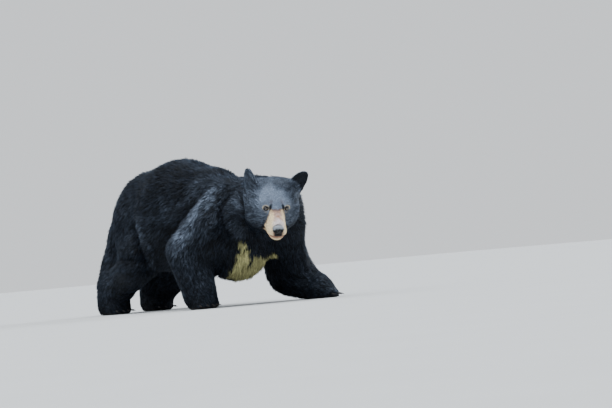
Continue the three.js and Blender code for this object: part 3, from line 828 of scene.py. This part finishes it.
# Locks: the tufts near a seed tuft share its lean, its shade and how far it strays.
long = root_length > LONG
pick = np.flatnonzero(long)
seeds = rng.choice(pick, int(len(pick) * LOCK_SHARE), replace=False)
near_seed = tree_of(root[seeds])
lock = np.arange(count)
lock[pick] = seeds[[near_seed.find(Vector(p))[1] for p in root[pick]]]
lock_stray, lock_lean, lock_shade = rng.normal(0, 1, (3, count))[:, lock]
stray = 0.20 * waves(root, 0.12, 1) + 0.12 * waves(root, 0.035, 2)
stray = stray + 0.12 * lock_stray + rng.normal(0, 0.08, count)
stray = stray * (1 - 0.55 * step(root_length, 0.024, 0.012))
root_length = root_length * rng.uniform(0.72, 1.14, count) * (1 + 0.08 * waves(root, 0.05, 3))
lean = np.clip(root_depth / root_length, 0.10, 0.55)
lean = lean * rng.uniform(0.80, 1.20, count) * np.exp(0.15 * np.clip(lock_lean, -2, 2))
lean = np.clip(lean + 0.04, 0.08, 0.60)
strand = np.where(on_face, 0.50, 0.75) * (1 - 0.6 * step(root_tone[:, 0], 0.16, 0.30))
streak = np.clip(rng.normal(0, 0.8, count) + 0.7 * lock_shade, -2.2, 1.5)
root_tone = root_tone * np.exp(strand * streak)[:, None]


def heading(stray, rise):
    """Unit vectors that stray sideways from the lie and rise off the skin by angles."""
    flat = root_flow * np.cos(stray)[:, None] + root_side * np.sin(stray)[:, None]
    return flat * np.cos(rise)[:, None] + root_normal * np.sin(rise)[:, None]


tip_way = heading(stray, np.arcsin(lean) * 0.80)
mid_way = heading(stray * 0.6, np.arcsin(lean) * 1.35)
mid = root + mid_way * (0.42 * root_length)[:, None]
tip = mid + tip_way * (0.58 * root_length)[:, None]

sideways = dot(tip[lock] - tip, root_side)
most = 0.20 * root_length
reach = np.clip(sideways, -most, most) * rng.uniform(0.3, 0.8, count)
tip = tip + root_side * reach[:, None]
mid = mid + root_side * (0.35 * reach)[:, None]
foot = root - root_normal * np.minimum(SINK, SINK_SHARE * root_length)[:, None]
lift(tip, TIP_HEIGHT)
lift(mid, TIP_HEIGHT)
lift(foot, ROOT_HEIGHT)


def ring_round(centre, way, radius):
    """Three corners of a tuft's section: two at its edges and one on its back."""
    across = unit(np.cross(root_normal, way))
    above = np.cross(way, across)
    r = radius[:, None]
    return (
        centre - across * r - above * 0.25 * r,
        centre + across * r - above * 0.25 * r,
        centre + above * 0.55 * r,
    )


mid_ring = ring_round(mid, unit(tip - foot), 0.5 * root_width)
base_ring = ring_round(foot, unit(tip - foot), 0.5 * root_width)

# A long tuft is a spindle: its root, a ring of three and its tip. A short one is a spike.
SPINDLE = np.array([(0, 2, 1), (0, 3, 2), (0, 1, 3), (1, 2, 4), (2, 3, 4), (3, 1, 4)])
SPIKE = np.array([(0, 2, 1), (0, 1, 3), (1, 2, 3), (2, 0, 3)])


def tufts_of(which):
    """Points, triangles, the tuft of each point and its soft normal, for some tufts."""
    bent = which[long[which]]
    plain = which[~long[which]]
    curved = np.stack([foot[bent]] + [r[bent] for r in mid_ring] + [tip[bent]], 1)
    straight = np.stack([r[plain] for r in base_ring] + [tip[plain]], 1)
    points = np.concatenate([curved.reshape(-1, 3), straight.reshape(-1, 3)])
    first = np.arange(len(bent))[:, None, None] * 5
    second = len(bent) * 5 + np.arange(len(plain))[:, None, None] * 4
    corners = np.concatenate([(SPINDLE + first).reshape(-1, 3), (SPIKE + second).reshape(-1, 3)])
    tuft = np.concatenate([np.repeat(bent, 5), np.repeat(plain, 4)])
    centre = np.concatenate([np.repeat(mid[bent], 5, 0), np.repeat(foot[plain], 4, 0)])
    outward = unit(points - centre)
    is_ring = np.concatenate([
        np.tile([0, 1, 1, 1, 0], len(bent)), np.tile([1, 1, 1, 0], len(plain))
    ])
    own = (1 - SOFT) * is_ring[:, None] * outward
    return points, corners, tuft, unit(SOFT * root_normal[tuft] + own)


def part_of(node):
    """The part of the coat that grows on a node."""
    kind, side = kind_of(node), node[-1]
    for end, chain in LIMBS.items():
        if kind in chain:
            return f"{end}leg_{side}"
    if kind in ("head", "muzzle", "jaw", "ear"):
        return "head"
    return "neck" if kind == "neck" else "trunk"


parts = {}
for node in FLESH:
    parts.setdefault(part_of(node), []).append(node)


def colour_map(piece, tuft, part):
    """Each tuft as a small patch at its root's place on the skin unwrapped round an axis."""
    axis = {"head": muzzle_way, "trunk": BACK, "neck": unit(middle("trunk") - middle("head"))}
    way = axis.get(part, UP)
    across = unit(np.cross(way, UP if abs(way @ UP) < 0.9 else BACK))
    above = np.cross(way, across)
    rel = root - middle(*parts[part])
    used = np.unique(tuft)
    turn = np.arctan2(rel @ above, rel @ across) / (2 * math.pi) + 0.5
    along = rel @ way
    low, high = along[used].min(), along[used].max()
    along = (along - low) / max(high - low, 1e-6)
    place = PATCH + np.stack([turn, along], 1) * (1 - 2 * PATCH)
    mesh = piece.data
    loops = np.empty(len(mesh.loops), np.int32)
    mesh.loops.foreach_get("vertex_index", loops)
    spin = (np.arange(len(tuft)) % 7) * (2 * math.pi / 7)
    patch = np.stack([np.cos(spin), np.sin(spin)], 1) * (PATCH / 2)
    uv = np.clip(place[tuft] + patch, 0, 1)[loops]
    mesh.uv_layers.new(name="OFBake").data.foreach_set("uv", uv.astype(np.float32).ravel())


coat = []
for part, nodes in parts.items():
    which = np.flatnonzero(np.isin(root_owner, [FLESH.index(n) for n in nodes]))
    which = which[np.argsort(root[which, 1 if part in ("trunk", "neck") else 2])]
    faces = np.where(long[which], len(SPINDLE), len(SPIKE))
    chunks = max(1, math.ceil(faces.sum() / PIECE_FACES))
    chunk = np.minimum(np.cumsum(faces) * chunks // max(faces.sum(), 1), chunks - 1)
    for index in range(chunks):
        p, c, tuft, soft = tufts_of(which[chunk == index])
        piece = mesh_object(f"coat_{part}_{index + 1}", p, c)
        piece.data.normals_split_custom_set_from_vertices(soft.tolist())
        put_field(piece.data, "tone", root_tone[tuft])
        colour_map(piece, tuft, part)
        coat.append(piece)


# ---- materials
class Shader:
    """A node material on one Principled shader, with short ways to add nodes."""

    def __init__(self, name, **values):
        self.material = bpy.data.materials.new(name)
        self.material.use_nodes = True
        self.tree = self.material.node_tree
        self.main = self.tree.nodes["Principled BSDF"]
        for key, value in values.items():
            self.main.inputs[key.replace("_", " ")].default_value = value

    def node(self, kind, **links):
        made = self.tree.nodes.new(kind)
        for key, value in links.items():
            self.feed(made.inputs[key.replace("_", " ")], value)
        return made

    def feed(self, socket, value):
        if isinstance(value, bpy.types.NodeSocket):
            self.tree.links.new(value, socket)
        else:
            socket.default_value = value

    def field(self, name, output="Fac"):
        made = self.tree.nodes.new("ShaderNodeAttribute")
        made.attribute_name = name
        return made.outputs[output]

    def place(self):
        return self.tree.nodes.new("ShaderNodeTexCoord").outputs["Object"]

    def noise(self, scale, detail=3, stretch=None):
        place = self.place()
        if stretch:
            mapping = self.node("ShaderNodeMapping", Vector=place)
            mapping.inputs["Scale"].default_value = stretch
            place = mapping.outputs[0]
        made = self.node("ShaderNodeTexNoise", Vector=place, Scale=scale, Detail=detail)
        return made.outputs["Fac"]

    def ramp(self, value, *stops):
        """Colours or greys at places from 0 to 1."""
        made = self.node("ShaderNodeValToRGB", Fac=value)
        elements = made.color_ramp.elements
        while len(elements) < len(stops):
            elements.new(0.5)
        for element, (place, colour) in zip(elements, stops):
            element.position = place
            element.color = colour if np.ndim(colour) else (colour,) * 3 + (1,)
        return made.outputs["Color"]

    def mix(self, share, first, second):
        made = self.tree.nodes.new("ShaderNodeMix")
        made.data_type = "RGBA"
        self.feed(made.inputs["Factor"], share)
        self.feed(made.inputs[6], first)
        self.feed(made.inputs[7], second)
        return made.outputs[2]

    def times(self, first, second):
        made = self.tree.nodes.new("ShaderNodeVectorMath")
        made.operation = "MULTIPLY"
        self.feed(made.inputs[0], first)
        self.feed(made.inputs[1], second)
        return made.outputs[0]

    def bump(self, height, strength, distance):
        made = self.node("ShaderNodeBump", Height=height, Strength=strength, Distance=distance)
        self.feed(self.main.inputs["Normal"], made.outputs[0])

    def colour(self, value):
        self.feed(self.main.inputs["Base Color"], value)

    def give(self, *pieces):
        for piece in pieces:
            piece.data.materials.clear()
            piece.data.materials.append(self.material)


def rgb(red, green, blue):
    return (red, green, blue, 1)


def coat_colour(shader):
    """The markings with their painted sheen and shade, and lighter and darker hairs, the same on
    the skin and on the tufts.
    """
    hairs = shader.ramp(shader.noise(300, 1), (0.30, 0.62), (0.70, 1.45))
    return shader.times(shader.field("tone", "Vector"), hairs)


SHEEN = {"Sheen_Weight": 0.07, "Sheen_Roughness": 0.35, "Sheen_Tint": rgb(0.42, 0.64, 1.0)}
hair = Shader("bear_hair", Roughness=0.42, Specular_IOR_Level=0.085, **SHEEN)
hair.colour(coat_colour(hair))
hide = Shader("bear_skin", Roughness=0.7, Specular_IOR_Level=0.3)
hide.colour(coat_colour(hide))
hide.bump(hide.noise(420, 4), 0.6, 0.002)
hide.give(skin)
hair.give(*coat)


# ---- eyes
def eye_piece(side):
    """An eyeball with a bulging cornea, and how far each point is from the pupil's middle."""
    rings, spokes = 40, 48
    angles = np.linspace(0, math.pi, rings + 1)[1:-1]
    p, far = [eye_way[side] * (1 + CORNEA)], [0.0]
    for angle in angles:
        bulge = 1 + CORNEA * step(angle, 0.75, 0.2)
        for k in range(spokes):
            turn = 2 * math.pi * k / spokes
            way = eye_side[side] * math.cos(turn) + eye_top[side] * math.sin(turn)
            way = way * math.sin(angle) + eye_way[side] * math.cos(angle)
            p.append(way * bulge)
            far.append(angle)
    p.append(-eye_way[side])
    far.append(math.pi)
    c = [(0, 1 + k, 1 + (k + 1) % spokes) for k in range(spokes)]
    for row in range(len(angles) - 1):
        for k in range(spokes):
            i, j = 1 + row * spokes + k, 1 + row * spokes + (k + 1) % spokes
            c += [(i, i + spokes, j), (j, i + spokes, j + spokes)]
    last = len(p) - 1
    base = last - spokes
    c += [(last, base + (k + 1) % spokes, base + k) for k in range(spokes)]
    places = eye_at[side] + np.array(p) * EYE_RADIUS
    piece = mesh_object(f"eyeball_{side}", places, np.array(c))
    put_field(piece.data, "iris", np.array(far) / math.pi)
    return piece


glass = Shader("bear_eye", Roughness=0.06, Coat_Weight=1.0, Coat_Roughness=0.02)
iris = glass.field("iris")
fibres = glass.mix(glass.noise(700, 3), rgb(0.012, 0.007, 0.003), rgb(0.036, 0.021, 0.009))
eye_colour = glass.ramp(iris, (0.12, 0.0), (0.15, 1.0), (0.235, 1.0), (0.26, 0.0))
glass.colour(glass.mix(eye_colour, rgb(0.004, 0.003, 0.003), fibres))
eyes = [eye_piece(side) for side in "LR"]
glass.give(*eyes)


# ---- nose
def nose_piece():
    """The nose pad: its solid remeshed finely, with nostrils, their slits and the groove."""
    piece = mesh_object("nose_pad", *gathered(["nose"])[:2])
    changed(piece, "REMESH", mode="VOXEL", voxel_size=NOSE_VOXEL, use_smooth_shade=True)
    net = Net(piece.data)
    points, corners = arrays_of(piece.data)
    points = rounded(points, net, 0.5, 24)
    rel = points - nose_at
    out, across, above = rel @ muzzle_way, rel @ head_left, rel @ muzzle_up
    front = step(out, -0.006, 0.008)
    push = np.zeros(len(points))
    for x in (across, -across):
        hole = oval(x, above, (0.0150, 0.0060), (0.0058, 0.0062))
        push += 0.014 * np.exp(-(hole**2)) * front
        slope = 0.25 * (x - 0.0235)
        slit = np.hypot((x - 0.0235) / 0.0080, (above - 0.0010 - slope) / 0.0024)
        push += 0.0055 * np.exp(-(slit**2)) * step(out, -0.016, -0.004)
        wing = oval(x, above, (0.021, 0.013), (0.006, 0.006))
        push -= 0.0016 * np.exp(-(wing**2))
    push += 0.0022 * np.exp(-((across / 0.0016) ** 2)) * step(above, 0.006, -0.004) * front
    normals = normals_of(points, corners)
    points = points - push[:, None] * unit(0.6 * normals + 0.4 * muzzle_way)
    points = net.spread(points, 2, 0.5)
    # Painted shade: near black on the underside and in the nostrils, their slits and the groove.
    shaded_underside = step(rel[:, 2] + 0.0015 * waves(rel, 0.015, 11), 0.003, -0.004)
    put_field(piece.data, "nose_painted_shade", np.clip(np.maximum(push / 0.006, shaded_underside), 0, 1))
    reshape(piece, points)
    return piece


leather = Shader("bear_nose", Roughness=0.40, Specular_IOR_Level=0.25, Coat_Weight=0.08)
pebbles = leather.node("ShaderNodeTexVoronoi", Scale=620, Vector=leather.place())
leather.bump(pebbles.outputs["Distance"], 0.5, 0.0012)
# Grey on top as a painted sky reflection on the black pad; near black where the painted shade is.
nose_painted_sheen = leather.mix(leather.noise(90, 3), rgb(0.20, 0.22, 0.25), rgb(0.30, 0.32, 0.35))
leather.colour(leather.mix(leather.field("nose_painted_shade"), nose_painted_sheen, rgb(0.006, 0.007, 0.008)))
nose = nose_piece()
leather.give(nose)


# ---- claws
def claws_piece():
    """All the claws, each rounded from its solid."""
    piece = mesh_object("claws", *gathered(CLAWS)[:2])
    changed(piece, "SUBSURF", levels=2, render_levels=2)
    points, _ = arrays_of(piece.data)
    lift(points)
    reshape(piece, points)
    return piece


horn = Shader("bear_claw", Roughness=0.45, Specular_IOR_Level=0.3)
grain = horn.noise(60, 4, (3, 0.6, 3))
horn.colour(horn.ramp(grain, (0.3, rgb(0.006, 0.005, 0.005)), (0.7, rgb(0.028, 0.022, 0.018))))
horn.bump(horn.noise(500, 3, (4, 0.5, 4)), 0.25, 0.001)
claws = claws_piece()
horn.give(claws)

# ---- what stands for which node
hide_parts(*FLESH)
for piece, side in zip(eyes, "LR"):
    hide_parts("eye_" + side)
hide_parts("nose")
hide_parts(*CLAWS)
for piece, slot in (
    [(skin, "coat"), (nose, "nose"), (claws, "claw")]
    + [(piece, "coat") for piece in coat]
    + [(piece, "eye") for piece in eyes]
):
    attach(piece, "root")

# ---- camera
AZIMUTH, ELEVATION, ROLL = -40.0, -1.2, 5.0  # degrees
DISTANCE = 14.0
SCALE = 180.0  # picture points to a metre at that distance
PICTURE = (612, 408)
FROM_CLAW = (0.192, -0.363)  # from the near hind foot's middle claw to the place aimed at
AIM_AT = (194.0, 308.5)  # where that place on the floor is seen


def way_from(azimuth, elevation):
    """Unit vector. Azimuth 0 is ahead of the trunk, and 90 is on the bear's left."""
    turn, rise = math.radians(azimuth), math.radians(elevation)
    return Vector((
        math.sin(turn) * math.cos(rise), -math.cos(turn) * math.cos(rise), math.sin(rise)
    ))


def photo_camera():
    back = way_from(AZIMUTH, ELEVATION)
    low, high = box_of("claw_hind_R_3")
    aim = Vector(((low[0] + high[0]) / 2 + FROM_CLAW[0], high[1] + FROM_CLAW[1], 0))
    data = bpy.data.cameras.new("camera")
    camera = placed("camera", data)
    roll = Quaternion((0, 0, 1), -math.radians(ROLL))
    camera.rotation_mode = "QUATERNION"
    camera.rotation_quaternion = (-back).to_track_quat("-Z", "Y") @ roll
    data.sensor_width = 36
    data.lens = data.sensor_width * DISTANCE * SCALE / PICTURE[0]
    frame_axes = camera.rotation_quaternion.to_matrix()
    right = (AIM_AT[0] - PICTURE[0] / 2) / SCALE
    above = (PICTURE[1] / 2 - AIM_AT[1]) / SCALE
    camera.location = (
        aim + back * DISTANCE
        - frame_axes @ Vector((1, 0, 0)) * right
        - frame_axes @ Vector((0, 1, 0)) * above
    )
    data.clip_end = 200
    bpy.context.scene.camera = camera


photo_camera()


# ---- light and floor
def soft_light(name, azimuth, elevation, power, spread, colour):
    """A broad soft light from far off."""
    data = bpy.data.lights.new(name, "SUN")
    data.energy = power
    data.angle = math.radians(spread)
    data.color = colour
    lamp = placed(name, data)
    lamp.rotation_euler = way_from(azimuth, elevation).to_track_quat("Z", "Y").to_euler()


soft_light("top", -10, 74, 3.8, 70, (0.90, 0.95, 1.0))
soft_light("key", -95, 38, 1.3, 50, (0.90, 0.95, 1.0))
soft_light("edge_left", -155, 42, 1.3, 60, (0.88, 0.94, 1.0))
soft_light("edge_right", 80, 26, 2.0, 30, (0.88, 0.94, 1.0))

world = bpy.data.worlds.new("studio")
bpy.context.scene.world = world
world.use_nodes = True
sky = world.node_tree
paper = sky.nodes["Background"]
fill = sky.nodes.new("ShaderNodeBackground")
for light, colour, strength in (
    (paper, rgb(0.80, 0.83, 0.86), 1.15),
    (fill, rgb(0.74, 0.84, 1.0), 0.16),
):
    light.inputs["Color"].default_value = colour
    light.inputs["Strength"].default_value = strength
seen = sky.nodes.new("ShaderNodeLightPath")
chosen = sky.nodes.new("ShaderNodeMixShader")
sky.links.new(seen.outputs["Is Camera Ray"], chosen.inputs["Fac"])
sky.links.new(fill.outputs["Background"], chosen.inputs[1])
sky.links.new(paper.outputs["Background"], chosen.inputs[2])
sky.links.new(chosen.outputs["Shader"], sky.nodes["World Output"].inputs["Surface"])

floor = mesh_object(
    "floor",
    np.array([(-40, -40, 0), (40, -40, 0), (40, 40, 0), (-40, 40, 0)]),
    np.array([(0, 1, 2), (0, 2, 3)]),
    False,
)
matt = Shader("floor", Roughness=0.9)
matt.colour(matt.mix(matt.noise(3, 3), rgb(0.62, 0.62, 0.61), rgb(0.66, 0.66, 0.65)))
matt.give(floor)

print(count, "tufts in", len(coat), "pieces")
